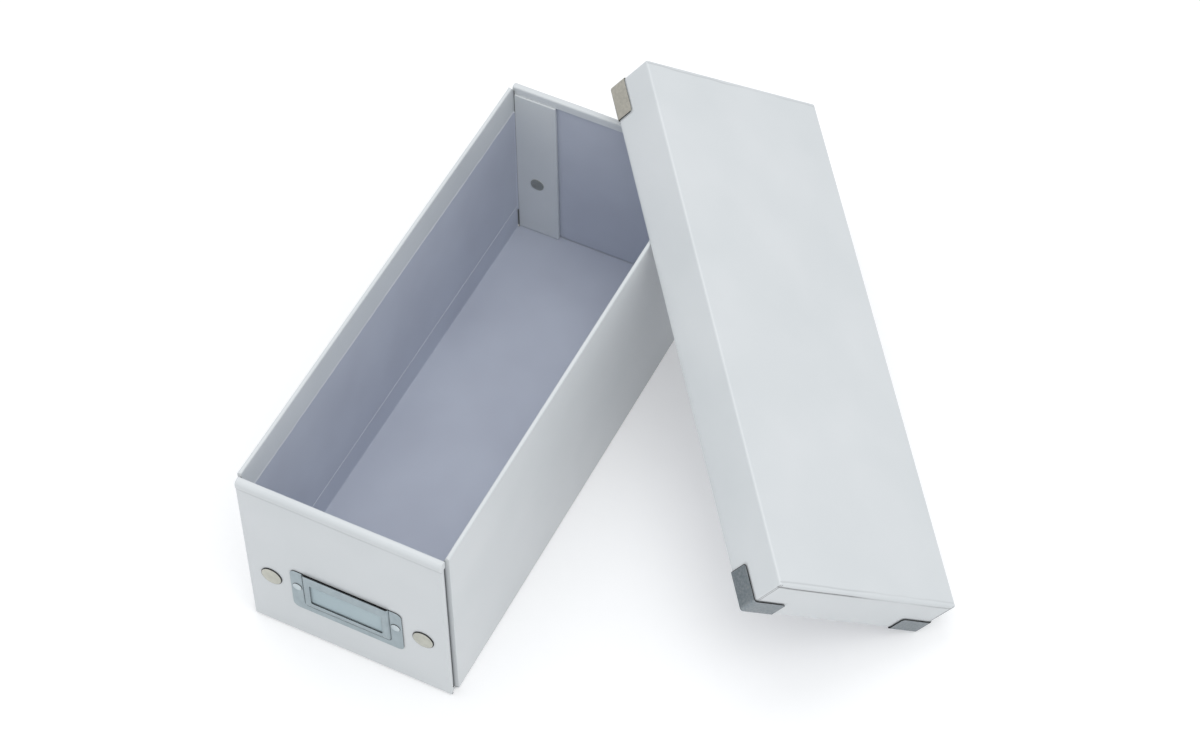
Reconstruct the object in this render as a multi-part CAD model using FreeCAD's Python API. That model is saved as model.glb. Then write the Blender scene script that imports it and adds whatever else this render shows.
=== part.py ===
import FreeCAD, Part
import math
import os

# A lidded storage box for discs, of paper-covered board, shown open with its lid leaning on it.
# Millimetres. +X is the right side, +Y the back, +Z up. The origin is at the centre of the underside.

# Body, outside
body_length = 345.5
body_width = 136.5
body_height = 133.5

# Board and paper
board = 2.0
wrap = 0.25
lining = 0.2

# Folds and edges
fold_radius = 2.7
corner_fold_radius = 3.6
wall_rim_radius = 0.9
wall_turn_in = 17.0
floor_margin = 20.0
end_wall_inset = 1.8
body_gap = 0.7
overcut = 1.0

# Thick rim of the two end walls
rim_height = 6.0
rim_radius = 1.7
lip_gap = 0.4
rim_crease_radius = 0.12

# Flaps that fold in behind the end walls
flap_tail_gap = 1.0
flap_floor_gap = 0.5
flap_top_gap = 0.4
corner_fold_drop = 2.0

# Press studs
stud_inset = 17.8
stud_height = 49.8
cap_radius = 7.0
cap_edge = 0.45
cap_crown = 0.65
cap_shank_radius = 1.2
socket_radius = 5.0
socket_bore_radius = 2.4
socket_floor = 0.4
post_radius = 1.9
post_length = 2.0
post_round = 0.5
flap_shank_radius = 1.4
flange_radius = 4.6
flange_thickness = 0.5
bore_clearance = 0.05

# Label holder on the front wall
holder_width = 74.0
holder_height = 36.5
holder_centre_height = 47.8
holder_corner_radius = 4.0
holder_sheet = 0.5
frame_width = 57.2
frame_drop = 31.0
frame_rise = 1.9
frame_edge_radius = 0.5
window_width = 47.6
window_height = 17.8
window_top_margin = 8.0
pocket_side_wall = 0.6
rivet_spacing = 65.3
rivet_height = 51.1
rivet_radius = 3.25
rivet_edge = 0.3
rivet_crown = 1.0
rivet_shank_radius = 1.3
rivet_tail_radius = 2.6
rivet_tail_thickness = 0.4

# Label card
card_width = 54.6
card_height = 29.0
card_thickness = 0.3
card_back_gap = 0.3
card_side_gap = 0.3

# Lid
lid_fit = 0.8
lid_depth = 34.2
lid_fold_radius = 1.3
lid_turn_in = 14.0

# Metal corners of the lid
metal_sheet = 0.4
metal_leg = 24.0
metal_height = 12.5
metal_round = 2.0
metal_inner_height = 5.0

# Where the lid leans on the right wall
lid_turn_deg = 38.66
lid_bank_deg = 37.13
touch_from_rear = 80.9
touch_from_lid_end = 109.0
lean_gap = 0.1
floor_gap = 0.3

# Worked out from the sizes above
half_length = body_length / 2
half_width = body_width / 2
wall = wrap + board + lining
rim = wrap + 2 * board + wrap
rim_bottom = body_height - rim_height
flap_face = half_length - wall - body_gap
long_wall_end = flap_face - corner_fold_radius
end_half = half_width - end_wall_inset
flap_end = rivet_spacing / 2 + rivet_tail_radius + flap_tail_gap
flap_bottom = wall + flap_floor_gap
flap_top = rim_bottom - flap_top_gap
holder_top = holder_centre_height + holder_height / 2
holder_bottom = holder_centre_height - holder_height / 2
lid_wall = wrap + board + lining
lid_length = body_length + 2 * (lid_wall + lid_fit)
lid_width = body_width + 2 * (lid_wall + lid_fit)
lid_half_length = lid_length / 2
lid_half_width = lid_width / 2

X_AXIS = FreeCAD.Vector(1, 0, 0)
Y_AXIS = FreeCAD.Vector(0, 1, 0)
Z_AXIS = FreeCAD.Vector(0, 0, 1)
ORIGIN = FreeCAD.Vector(0, 0, 0)


def point(x, y, z):
    return FreeCAD.Vector(x, y, z)


def block(x, y, z):
    """A box between the two limits given along each axis."""
    size = [limits[1] - limits[0] for limits in (x, y, z)]
    return Part.makeBox(size[0], size[1], size[2], point(x[0], y[0], z[0]))


def rounded(shape, radius, keep):
    """The shape with a fillet on each straight edge whose middle the keep function picks."""
    edges = [edge for edge in shape.Edges if keep(edge.CenterOfMass)]
    return shape.makeFillet(radius, edges)


def near(value, target):
    return abs(value - target) < 1e-4


def rod_y(radius, x, z, y):
    """A round bar along Y between the two limits in y."""
    return Part.makeCylinder(radius, y[1] - y[0], point(x, y[0], z), Y_AXIS)


def fold_paper(radius, centre, axis, length, x, y, z):
    """Paper going round a fold: the quarter of a thin tube that lies within the box given."""
    tube = Part.makeCylinder(radius, length, centre, axis)
    tube = tube.cut(Part.makeCylinder(radius - wrap, length, centre, axis))
    return tube.common(block(x, y, z))


def dome(radius, edge, crown, x, z, y):
    """A low domed head on the plane at y, crowned towards -Y."""
    disc = rod_y(radius, x, z, (y - edge - crown, y))
    ball_radius = (radius ** 2 + crown ** 2) / (2 * crown)
    ball = Part.makeSphere(ball_radius, point(x, y - edge - crown + ball_radius, z))
    return disc.common(ball)


def mirrored(shape, across_x=False, across_y=False):
    if across_x:
        shape = shape.mirror(ORIGIN, X_AXIS)
    if across_y:
        shape = shape.mirror(ORIGIN, Y_AXIS)
    return shape


def save(node, *solids):
    """Write one sub-part, as a group where it has several equal solids."""
    shape = solids[0] if len(solids) == 1 else Part.makeCompound(list(solids))
    bad = not shape.isValid() or shape.Volume <= 0
    print(node, len(shape.Solids), "solids", round(shape.Volume, 1), "mm3", "INVALID" if bad else "")
    shape.exportStep("parts/" + node + ".step")


def floor():
    """Base board, the paper under it and the lining that turns up against the long walls."""
    x = half_width - fold_radius
    y = half_length - fold_radius
    save("base_wrap", block((-x, x), (-y, y), (0, wrap)))
    save("base_board", block((-x, x), (-y, y), (wrap, wrap + board)))
    inside = half_width - wrap - board
    end = long_wall_end
    sheet = block((-x, x), (-y, y), (wrap + board, wall))
    middle = block((-inside, inside), (-end, end), (wall - lining, wall))
    margin = block((inside - lining, inside), (-end, end), (wall - lining, wall + floor_margin))
    sheet = sheet.fuse([middle, margin, mirrored(margin, across_x=True)])
    save("base_lining", sheet.removeSplitter())


def long_wall(side, across_x):
    """One long wall: board, the paper that goes under, up and over the rim, and the lining."""
    y = (-long_wall_end, long_wall_end)
    outer = half_width
    face = outer - wrap
    back = face - board
    inner = back - wrap
    core = block((back, face), y, (fold_radius, body_height - wrap))
    core_radius = wall_rim_radius - wrap
    core = rounded(core, core_radius, lambda c: near(c.z, body_height - wrap) and near(c.y, 0))
    skin = block((inner, outer), y, (fold_radius, body_height))
    skin = rounded(skin, wall_rim_radius, lambda c: near(c.z, body_height) and near(c.y, 0))
    turn_in_end = body_height - wall_turn_in
    below = block((inner - overcut, back), (y[0] - overcut, y[1] + overcut), (0, turn_in_end))
    skin = skin.cut(core).cut(below)
    centre = point(outer - fold_radius, y[0], fold_radius)
    under = fold_paper(fold_radius, centre, Y_AXIS, y[1] - y[0], (outer - fold_radius, outer), y,
                       (0, fold_radius))
    skin = skin.fuse(under).removeSplitter()
    cover = block((back - lining, back), y, (wall + floor_margin, turn_in_end))
    save(side + "_wall_board", mirrored(core, across_x))
    save(side + "_wall_wrap", mirrored(skin, across_x))
    save(side + "_wall_lining", mirrored(cover, across_x))


def stud_places():
    offset = half_width - stud_inset
    return [-offset, offset]


def end_fold():
    """The paper between the base and the foot of an end wall, at the front."""
    x = (-end_half, end_half)
    y = (-half_length, -half_length + fold_radius)
    centre = point(x[0], y[1], fold_radius)
    return fold_paper(fold_radius, centre, X_AXIS, x[1] - x[0], x, y, (0, fold_radius))


def end_wall(side, across_y, labelled):
    """One end wall: board, strip behind its rim, paper over both, lining and its press studs."""
    front = -half_length
    face = front + wrap
    back = face + board
    lip_half = half_width - corner_fold_radius - lip_gap
    core_half = end_half - wrap
    top = body_height - wrap
    core_radius = rim_radius - wrap
    core = block((-core_half, core_half), (face, back), (fold_radius, top))
    core = rounded(core, core_radius, lambda c: near(c.z, top) and near(c.y, face))
    strip = block((-lip_half + wrap, lip_half - wrap), (back, back + board), (rim_bottom + wrap, top))
    strip = rounded(strip, core_radius, lambda c: near(c.z, top) and near(c.y, back + board))
    cover = block((-core_half, core_half), (back, back + lining), (fold_radius, rim_bottom))
    skin = block((-end_half, end_half), (front, front + wall), (fold_radius, body_height))
    skin = rounded(skin, rim_radius, lambda c: near(c.z, body_height) and near(c.y, front))
    lip = block((-lip_half, lip_half), (back, front + rim), (rim_bottom, body_height))
    lip = rounded(lip, rim_radius, lambda c: near(c.z, body_height) and near(c.y, front + rim))
    crease = Part.makeCylinder(rim_crease_radius, 2 * end_half, point(-end_half, front, rim_bottom), X_AXIS)
    skin = skin.fuse(lip).cut(core).cut(strip).cut(cover).cut(crease)
    caps = []
    sockets = []
    for x in stud_places():
        wide = rod_y(socket_radius + bore_clearance, x, stud_height, (face, back + lining + overcut))
        slim = rod_y(cap_shank_radius + bore_clearance, x, stud_height, (front - overcut, back))
        core = core.cut(wide)
        cover = cover.cut(wide)
        skin = skin.cut(slim)
        socket = rod_y(socket_radius, x, stud_height, (face, front + wall))
        socket = socket.cut(rod_y(socket_bore_radius, x, stud_height, (face + socket_floor, front + wall)))
        sockets.append(socket.cut(slim))
        cap = dome(cap_radius, cap_edge, cap_crown, x, stud_height, front)
        caps.append(cap.fuse(rod_y(cap_shank_radius, x, stud_height, (front, face + socket_floor))))
    if labelled:
        for x in (-rivet_spacing / 2, rivet_spacing / 2):
            hole_y = (front - overcut, front + wall + overcut)
            hole = rod_y(rivet_shank_radius + bore_clearance, x, rivet_height, hole_y)
            core = core.cut(hole)
            cover = cover.cut(hole)
            skin = skin.cut(hole)
    else:
        skin = skin.fuse(end_fold())
    skin = skin.removeSplitter()
    save(side + "_wall_board", mirrored(core, across_y=across_y))
    save(side + "_rim_strip", mirrored(strip, across_y=across_y))
    save(side + "_wall_wrap", mirrored(skin, across_y=across_y))
    save(side + "_wall_lining", mirrored(cover, across_y=across_y))
    save(side + "_stud_caps", *[mirrored(cap, across_y=across_y) for cap in caps])
    save(side + "_stud_sockets", *[mirrored(socket, across_y=across_y) for socket in sockets])


def flap(node, across_x, across_y):
    """One corner flap: a narrow board and the paper that joins it to the long wall's end."""
    face = -flap_face
    outer_end = half_width - corner_fold_radius
    core = block((flap_end, outer_end), (face + wrap, face + wrap + board), (flap_bottom, flap_top))
    skin = block((flap_end - wrap, outer_end), (face, face + wall), (flap_bottom, flap_top))
    centre = point(outer_end, face + corner_fold_radius, flap_bottom)
    fold_z = (flap_bottom, body_height - corner_fold_drop)
    fold = fold_paper(corner_fold_radius, centre, Z_AXIS, fold_z[1] - fold_z[0], (outer_end, half_width),
                      (face, face + corner_fold_radius), fold_z)
    x = half_width - stud_inset
    hole_y = (face - overcut, face + wall + overcut)
    hole = rod_y(flap_shank_radius + bore_clearance, x, stud_height, hole_y)
    skin = skin.cut(core).fuse(fold).cut(hole).removeSplitter()
    save(node + "_board", mirrored(core.cut(hole), across_x, across_y))
    save(node + "_wrap", mirrored(skin, across_x, across_y))


def flap_studs(side, across_y):
    """The stud halves riveted through a pair of flaps: round post outside, flange inside."""
    face = -flap_face
    studs = []
    for x in stud_places():
        post = rod_y(post_radius, x, stud_height, (face - post_length, face))
        post = rounded(post, post_round, lambda c: near(c.y, face - post_length))
        shank = rod_y(flap_shank_radius, x, stud_height, (face, face + wall))
        flange = rod_y(flange_radius, x, stud_height, (face + wall, face + wall + flange_thickness))
        studs.append(mirrored(post.fuse([shank, flange]).removeSplitter(), across_y=across_y))
    save(side + "_flap_studs", *studs)


def label_holder():
    """A pressed metal plate with a raised frame, open along its top, that a card slides into."""
    front = -half_length
    half = holder_width / 2
    plate = block((-half, half), (front - holder_sheet, front), (holder_bottom, holder_top))
    plate = rounded(plate, holder_corner_radius,
                    lambda c: near(abs(c.x), half) and (near(c.z, holder_top) or near(c.z, holder_bottom)))
    frame_half = frame_width / 2
    frame_bottom = holder_top - frame_drop
    raised = block((-frame_half, frame_half), (front - frame_rise, front), (frame_bottom, holder_top))
    raised = rounded(raised, frame_edge_radius,
                     lambda c: near(c.y, front - frame_rise) and not near(c.z, holder_top))
    inside = frame_half - pocket_side_wall
    pocket_front = front - frame_rise + holder_sheet
    pocket = block((-inside, inside), (pocket_front, front + overcut),
                   (frame_bottom + pocket_side_wall, holder_top + overcut))
    window_top = holder_top - window_top_margin
    window = block((-window_width / 2, window_width / 2), (front - frame_rise - overcut, front),
                   (window_top - window_height, window_top))
    holder = plate.fuse(raised).cut(pocket).cut(window)
    rivets = []
    for x in (-rivet_spacing / 2, rivet_spacing / 2):
        hole_y = (front - holder_sheet - overcut, front + overcut)
        holder = holder.cut(rod_y(rivet_shank_radius + bore_clearance, x, rivet_height, hole_y))
        head = dome(rivet_radius, rivet_edge, rivet_crown, x, rivet_height, front - holder_sheet)
        shank = rod_y(rivet_shank_radius, x, rivet_height, (front - holder_sheet, front + wall))
        tail_y = (front + wall, front + wall + rivet_tail_thickness)
        tail = rod_y(rivet_tail_radius, x, rivet_height, tail_y)
        rivets.append(head.fuse([shank, tail]).removeSplitter())
    save("label_holder", holder.removeSplitter())
    save("label_holder_rivets", *rivets)


def label_card():
    """The blank card in the holder, standing on the foot of its pocket."""
    back = -half_length - card_back_gap
    foot = holder_top - frame_drop + pocket_side_wall + card_side_gap
    half = card_width / 2
    save("label_card", block((-half, half), (back - card_thickness, back), (foot, foot + card_height)))


def lid_placement():
    """The lid's resting place: low corner on the floor, left skirt across the right wall's rim."""
    bank = math.radians(lid_bank_deg)
    reach = lid_width + metal_sheet - lid_wall
    along = lid_length - touch_from_lid_end
    flat = reach * math.sin(bank) + metal_sheet * math.cos(bank)
    steep = along + metal_sheet
    rise = body_height + lean_gap - floor_gap
    slope = math.asin(rise / math.hypot(flat, steep)) - math.atan2(flat, steep)
    turn = FreeCAD.Rotation(Z_AXIS, lid_turn_deg)
    tilt = FreeCAD.Rotation(X_AXIS, math.degrees(slope))
    roll = FreeCAD.Rotation(Y_AXIS, lid_bank_deg)
    rotation = turn.multiply(tilt).multiply(roll)
    touch = point(-lid_half_width + lid_wall, -lid_half_length + along, 0)
    target = point(half_width, half_length - touch_from_rear, body_height + lean_gap)
    return FreeCAD.Placement(target - rotation.multVec(touch), rotation)


def placed(shape, place):
    moved = shape.copy()
    moved.Placement = place.multiply(moved.Placement)
    return moved


def lid(place):
    """The lid: five boards, the paper round them, the lining and four metal corners."""
    face_x = lid_half_width - wrap
    face_y = lid_half_length - wrap
    edge_x = lid_half_width - lid_fold_radius
    edge_y = lid_half_length - lid_fold_radius
    inner_x = face_x - board
    inner_y = face_y - board
    under = lid_depth - wrap - board
    top = block((-edge_x, edge_x), (-edge_y, edge_y), (under, under + board))
    long_skirt = block((inner_x, face_x), (-edge_y, edge_y), (wrap, under))
    short_skirt = block((-inner_x, inner_x), (-face_y, -inner_y), (wrap, under))
    save("lid_top_board", placed(top, place))
    save("lid_right_skirt_board", placed(long_skirt, place))
    save("lid_left_skirt_board", placed(mirrored(long_skirt, across_x=True), place))
    save("lid_front_skirt_board", placed(short_skirt, place))
    save("lid_rear_skirt_board", placed(mirrored(short_skirt, across_y=True), place))
    outer = shell_block(lid_half_width, lid_half_length, 0, lid_depth, lid_fold_radius)
    core = shell_block(face_x, face_y, wrap, lid_depth - wrap, lid_fold_radius - wrap)
    hollow = block((-inner_x, inner_x), (-inner_y, inner_y), (-overcut, under))
    turned = block((-inner_x, inner_x), (-inner_y, inner_y), (0, lid_turn_in))
    bore_x = inner_x - lining
    bore_y = inner_y - lining
    bore = block((-bore_x, bore_x), (-bore_y, bore_y), (-overcut, under - lining))
    lid_paper = outer.cut(core).cut(hollow).fuse(turned.cut(bore)).removeSplitter()
    cover = block((-inner_x, inner_x), (-inner_y, inner_y), (lid_turn_in, under)).cut(bore)
    save("lid_wrap", placed(lid_paper, place))
    save("lid_lining", placed(cover, place))
    corner = metal_corner()
    for name, across_x, across_y in (("front_right", False, False), ("front_left", True, False),
                                     ("rear_right", False, True), ("rear_left", True, True)):
        save("lid_corner_" + name, placed(mirrored(corner, across_x, across_y), place))


def shell_block(half_x, half_y, low, high, radius):
    """A box with its upright and top edges rounded, sharp at its foot."""
    shape = block((-half_x, half_x), (-half_y, half_y), (low, high))
    return rounded(shape, radius, lambda c: not near(c.z, low))


def metal_corner():
    """A pressed corner: two rounded legs outside the skirts, hemmed under the rim to the inside."""
    radius = lid_fold_radius + metal_sheet
    reach_x = lid_half_width + metal_sheet
    reach_y = lid_half_length + metal_sheet
    outside = shell_block(reach_x, reach_y, -metal_sheet, lid_depth, radius)
    high = lid_depth + lid_fold_radius
    skirt = shell_block(lid_half_width, lid_half_length, 0, high, lid_fold_radius)
    hole_x = lid_half_width - lid_wall
    hole_y = lid_half_length - lid_wall
    hem = block((-hole_x, hole_x), (-hole_y, hole_y), (-metal_sheet, metal_inner_height))
    inner_x = hole_x - metal_sheet
    inner_y = hole_y - metal_sheet
    inner = block((-inner_x, inner_x), (-inner_y, inner_y), (-overcut, high))
    band = outside.cut(skirt).cut(block((-hole_x, hole_x), (-hole_y, hole_y), (-overcut, high)))
    band = band.fuse(hem).cut(inner)
    leg_z = (-metal_sheet, metal_height)
    leg_x = block((reach_x - metal_leg, reach_x), (-reach_y, radius - reach_y), leg_z)
    end_x = reach_x - metal_leg
    leg_x = rounded(leg_x, metal_round, lambda c: near(c.z, metal_height) and near(c.x, end_x))
    leg_y = block((reach_x - radius, reach_x), (-reach_y, metal_leg - reach_y), leg_z)
    end_y = metal_leg - reach_y
    leg_y = rounded(leg_y, metal_round, lambda c: near(c.z, metal_height) and near(c.y, end_y))
    return band.common(leg_x.fuse(leg_y)).removeSplitter()


floor()
long_wall("right", False)
long_wall("left", True)
end_wall("front", False, True)
end_wall("rear", True, False)
save("front_base_fold", end_fold())
for end, behind in (("front", False), ("rear", True)):
    flap(end + "_right_flap", False, behind)
    flap(end + "_left_flap", True, behind)
    flap_studs(end, behind)
label_holder()
label_card()
lid(lid_placement())
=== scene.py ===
import math

import bpy
from mathutils import Matrix, Vector, noise


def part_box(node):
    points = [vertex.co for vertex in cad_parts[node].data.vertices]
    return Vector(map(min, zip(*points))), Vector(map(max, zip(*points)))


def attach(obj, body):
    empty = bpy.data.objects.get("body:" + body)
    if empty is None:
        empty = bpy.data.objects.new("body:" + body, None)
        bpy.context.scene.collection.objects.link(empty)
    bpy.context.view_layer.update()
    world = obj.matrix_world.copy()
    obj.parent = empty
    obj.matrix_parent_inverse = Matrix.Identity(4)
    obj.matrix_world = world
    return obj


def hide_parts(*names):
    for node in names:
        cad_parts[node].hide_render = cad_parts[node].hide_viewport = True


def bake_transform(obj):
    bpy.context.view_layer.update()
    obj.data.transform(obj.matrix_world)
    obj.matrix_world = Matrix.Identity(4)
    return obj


# The looks of the disc storage box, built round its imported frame.
# Shapes are worked out in millimetres, in the part's own frame, and stored in metres.

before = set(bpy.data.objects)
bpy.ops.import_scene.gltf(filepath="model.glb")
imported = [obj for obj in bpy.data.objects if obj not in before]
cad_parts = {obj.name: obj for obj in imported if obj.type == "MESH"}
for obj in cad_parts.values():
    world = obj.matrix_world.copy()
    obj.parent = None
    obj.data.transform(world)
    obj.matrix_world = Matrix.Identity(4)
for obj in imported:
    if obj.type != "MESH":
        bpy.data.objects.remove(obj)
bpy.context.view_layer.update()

MM = 0.001

# Meshes: usual and least distance of their points, edges that stay crisp, spokes of a round piece,
# slack of a test for lying inside
GRID_STEP = 3.0
LEAST_STEP = 0.02
SHARP_EDGE = math.radians(32)
SPOKES = 48
SLACK = 0.001

# Camera, placed as the photograph was taken
CAMERA_PLACE = Vector((0.59885, -1.01746, 1.57358))
CAMERA_RIGHT = Vector((0.894849, 0.446300, -0.007828))
CAMERA_DOWN = Vector((0.347242, -0.707039, -0.616051))
CAMERA_LENS = 94.54
SENSOR = 36.0

# Papers and their folds. PAPER is as thick as the solids' paper, SKIN as it is drawn here.
PAPER = 0.25
SKIN = 0.22
LINING = 0.2
FOOT_RADIUS = 2.7
CORNER_RADIUS = 3.6
WALL_RIM_RADIUS = 0.9
TURN_IN = 22.0
FLOOR_MARGIN = 20.0
EDGE_ROUND = 0.5
BASE_SKIN = 0.1
SOCKET_GAP = 0.03

# Torn top edge of the side linings, and the painted shade of a fold: the share of light its colour
# loses
TORN_WIDTH = 0.7
TORN_RISE = 0.45
TORN_LEAN = 0.14
FOLD_SHADE = 0.75

# Padded rim of the end walls
RIM_HEIGHT = 6.0
ROLL_HEIGHT = 6.6
ROLL_SWELL = 0.6
ROLL_RADIUS = 2.3
ROLL_BACK_RADIUS = 1.1
ROLL_END_FALL = 0.12
CREASE_DEPTH = 0.22
CREASE_WIDTH = 0.45
CREASE_PINCH = 0.12
STAND_OFF = 0.08
BACK_BEND = 0.3
SIDE_LINE_PLACE = 1.8
SIDE_LINE_DEPTH = 0.16
SIDE_LINE_WIDTH = 0.3

# Label holder
HOLDER_SHEET = 0.45
HOLDER_CORNER = 4.0
FRAME_HALF = 28.6
FRAME_DROP = 31.35
FRAME_FOOT_SLOPE = 3.6
FRAME_CORNER = 2.2
FRAME_SLOPE = 1.3
WINDOW_HALF = 23.8
WINDOW_TOP_DROP = 8.0
WINDOW_HEIGHT = 17.8
WINDOW_CORNER = 0.9
LINE_DEPTH = 0.38
LINE_WIDTH = 0.24
EDGE_WIDTH = 0.4
WINDOW_EDGE_FALL = 0.2
PLATE_EDGE_FALL = 0.12
SLOPE_LINES = (-0.5, -0.3, -0.1, 0.1, 0.3, 0.5, 0.75, 1.0, 1.3, 1.8)

# Steel behind the card: thickness, gap from the wall, and how far it stays inside the frame.
# Its top row is dark: a painted shadow line above the card.
BACK_THICK = 0.1
BACK_SET = 0.12
BACK_INSET = 1.2
BACK_DROP = 0.6
BACK_DARK_ROW = 2.0

# Lid
LID_ROUND = 1.3
LID_SPARE = 0.01
LID_WALL = 2.45
LID_TURN_IN = 14.0
SEAM_PLACE = 1.8
SEAM_SLIT = 0.22
SEAM_WIDTH = 0.15
TOP_CREASE = 2.2
END_CREASE = 3.0
CREASE_SLIT = 0.2
END_PADDING = 0.3
METAL_DENT = 0.2
DENT_REACH = 0.7

# Metal corners of the lid, and how far their hem goes in
METAL = 0.4
METAL_SHEET = METAL - 0.06
METAL_LEG = 24.0
METAL_REACH = METAL_LEG - METAL
METAL_HEIGHT = 12.5
METAL_FOOT = 0.3
METAL_ROUND = 2.0
METAL_INNER = 5.0
METAL_BORDER = 0.4
METAL_TURN = LID_ROUND + METAL
HEM = LID_WALL + 2 * METAL


# The four corners of the box: name, side across and side along
CORNERS = [("front_right", 1, -1), ("front_left", -1, -1),
           ("rear_right", 1, 1), ("rear_left", -1, 1)]


def size(node):
    """Lowest and highest corner of a CAD node, in millimetres."""
    low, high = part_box(node)
    return low / MM, high / MM


def spread(low, high, step=GRID_STEP):
    """Evenly spaced values from low to high, about a step apart."""
    count = max(1, round(abs(high - low) / step))
    return [low + (high - low) * i / count for i in range(count + 1)]


def arc(centre, radius, start, end, steps):
    """Points of an arc in a plane, from one angle in degrees to another."""
    angles = [math.radians(start + (end - start) * i / steps) for i in range(steps + 1)]
    return [(centre[0] + radius * math.cos(a), centre[1] + radius * math.sin(a)) for a in angles]


def waver(point, scale, seed):
    """Smooth noise between -1 and 1 that varies over about scale millimetres."""
    return noise.noise(Vector(point) / scale + Vector((seed, seed * 1.7, seed * 0.3)))


def bell(value, width):
    """1 at zero, falling smoothly to nothing past about two widths."""
    return math.exp(-(value / width) ** 2)


def ease(value):
    """Smooth step from 0 to 1."""
    value = min(1.0, max(0.0, value))
    return value * value * (3 - 2 * value)


def flipped(faces, flip=True):
    """Faces turned to look the other way, if flip is true."""
    return [list(reversed(face)) for face in faces] if flip else faces


def add_object(name, data):
    made = bpy.data.objects.new(name, data)
    bpy.context.scene.collection.objects.link(made)
    return made


def build(name, points, faces, body, slot, nodes, *materials):
    """One smooth mesh piece from points in millimetres, riding on a body for some CAD nodes."""
    mesh = bpy.data.meshes.new(name)
    mesh.from_pydata([p * MM for p in points], [], faces)
    mesh.validate()
    mesh.shade_smooth()
    piece = add_object(name, mesh)
    for material in materials:
        mesh.materials.append(material)
    if body:
        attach(piece, body)
    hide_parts(*nodes)
    return piece


def mark_painted_shade(piece, shade_marks):
    """Store the painted shade at each point: the share of light taken out of its colour along a
    fold or line. The material reads it.
    """
    marks = piece.data.attributes.new("fold", "FLOAT", "POINT")
    marks.data.foreach_set("value", shade_marks)


def thicken(piece, thickness, back_material=0, edge_material=0):
    """Give a sheet its thickness, away from the side its normals point to."""
    solid = piece.modifiers.new("thickness", "SOLIDIFY")
    solid.thickness = thickness * MM
    solid.offset = -1
    solid.use_even_offset = True
    solid.material_offset = back_material
    solid.material_offset_rim = edge_material
    bpy.context.view_layer.update()
    depsgraph = bpy.context.evaluated_depsgraph_get()
    mesh = bpy.data.meshes.new_from_object(piece.evaluated_get(depsgraph))
    piece.modifiers.clear()
    piece.data = mesh
    sharpen(piece)


def sharpen(piece):
    """Keep real edges crisp and the rest smooth."""
    piece.data.set_sharp_from_angle(angle=SHARP_EDGE)


def shadow_above(mesh, height):
    """Give the faces above a height in millimetres the mesh's second material, the dark edge that
    paints a shadow line.
    """
    for polygon in mesh.polygons:
        if polygon.center.z / MM > height:
            polygon.material_index = 1


def grid(columns):
    """Vertices and quads of a sheet given as columns of points. A None is a place left open."""
    points, numbers, faces = [], {}, []
    for i, column in enumerate(columns):
        for j, point in enumerate(column):
            if point is not None:
                numbers[i, j] = len(points)
                points.append(point)
    for i in range(len(columns) - 1):
        for j in range(len(columns[i]) - 1):
            corners = [(i, j), (i + 1, j), (i + 1, j + 1), (i, j + 1)]
            if all(c in numbers for c in corners):
                faces.append([numbers[c] for c in corners])
    return points, faces


def cut_grid(across, up, keep):
    """Cells of a flat grid that lie in a shape. One with a corner outside becomes a triangle."""
    numbers, places, faces = {}, [], []

    def vertex(i, j):
        if (i, j) not in numbers:
            numbers[i, j] = len(places)
            places.append((across[i], up[j]))
        return numbers[i, j]

    inside = {(i, j): keep(a, u) for i, a in enumerate(across) for j, u in enumerate(up)}
    for i in range(len(across) - 1):
        for j in range(len(up) - 1):
            corners = [c for c in ((i, j), (i + 1, j), (i + 1, j + 1), (i, j + 1)) if inside[c]]
            if len(corners) > 2:
                faces.append([vertex(*c) for c in corners])
    return places, faces


def merged(values):
    """The values in order, without any that nearly repeat."""
    result = []
    for value in sorted(values):
        if not result or value - result[-1] > LEAST_STEP:
            result.append(value)
    return result


def bend_lines(low, high, radius, steps=5):
    """Lattice lines of a box's two rounded edges, which give even turns once they are rounded."""
    turns = [radius * math.tan(math.radians(45 * i / steps)) for i in range(steps + 1)]
    return [low + radius - t for t in reversed(turns)] + [high - radius + t for t in turns]


def outline(last_x, last_y):
    """Places in order round the edge of a lattice."""
    return ([(i, 0) for i in range(last_x)] + [(last_x, j) for j in range(last_y)]
            + [(i, last_y) for i in range(last_x, 0, -1)] + [(0, j) for j in range(last_y, 0, -1)])


def box_skin(xs, ys, zs, place, foot=True):
    """Points and faces over a lattice box, and the numbers of the points round its foot.

    The place function gives where each lattice point lies."""
    points, numbers, faces = [], {}, []

    def vertex(i, j, k):
        if (i, j, k) not in numbers:
            numbers[i, j, k] = len(points)
            points.append(place(Vector((xs[i], ys[j], zs[k]))))
        return numbers[i, j, k]

    last_x, last_y, last_z = len(xs) - 1, len(ys) - 1, len(zs) - 1
    for i in range(last_x):
        for j in range(last_y):
            square = [(i, j), (i + 1, j), (i + 1, j + 1), (i, j + 1)]
            faces.append([vertex(*c, last_z) for c in square])
            if foot:
                faces.append([vertex(*c, 0) for c in square[:1] + square[:0:-1]])
    loop = outline(last_x, last_y)
    for (a, b), (c, d) in zip(loop, loop[1:] + loop[:1]):
        for k in range(last_z):
            square = [(a, b, k), (c, d, k), (c, d, k + 1), (a, b, k + 1)]
            faces.append([vertex(*corner) for corner in square])
    return points, faces, [vertex(i, j, 0) for i, j in loop]


def add_rows(points, faces, above, rows, closed):
    """Hang rows of new points below a row of numbered ones, each joined to the row above it.

    Closed rows run in a loop."""
    for row in rows:
        below = [len(points) + n for n in range(len(row))]
        points += row
        for n in range(len(row) if closed else len(row) - 1):
            m = (n + 1) % len(row)
            faces.append([below[n], below[m], above[m], above[n]])
        above = below


def clamped(point, low, high):
    """The nearest point of a box."""
    return Vector([min(high[i], max(low[i], point[i])) for i in range(3)])


# Materials

# How far from 0.5 a noise usually strays
NOISE_REACH = 0.2


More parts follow.
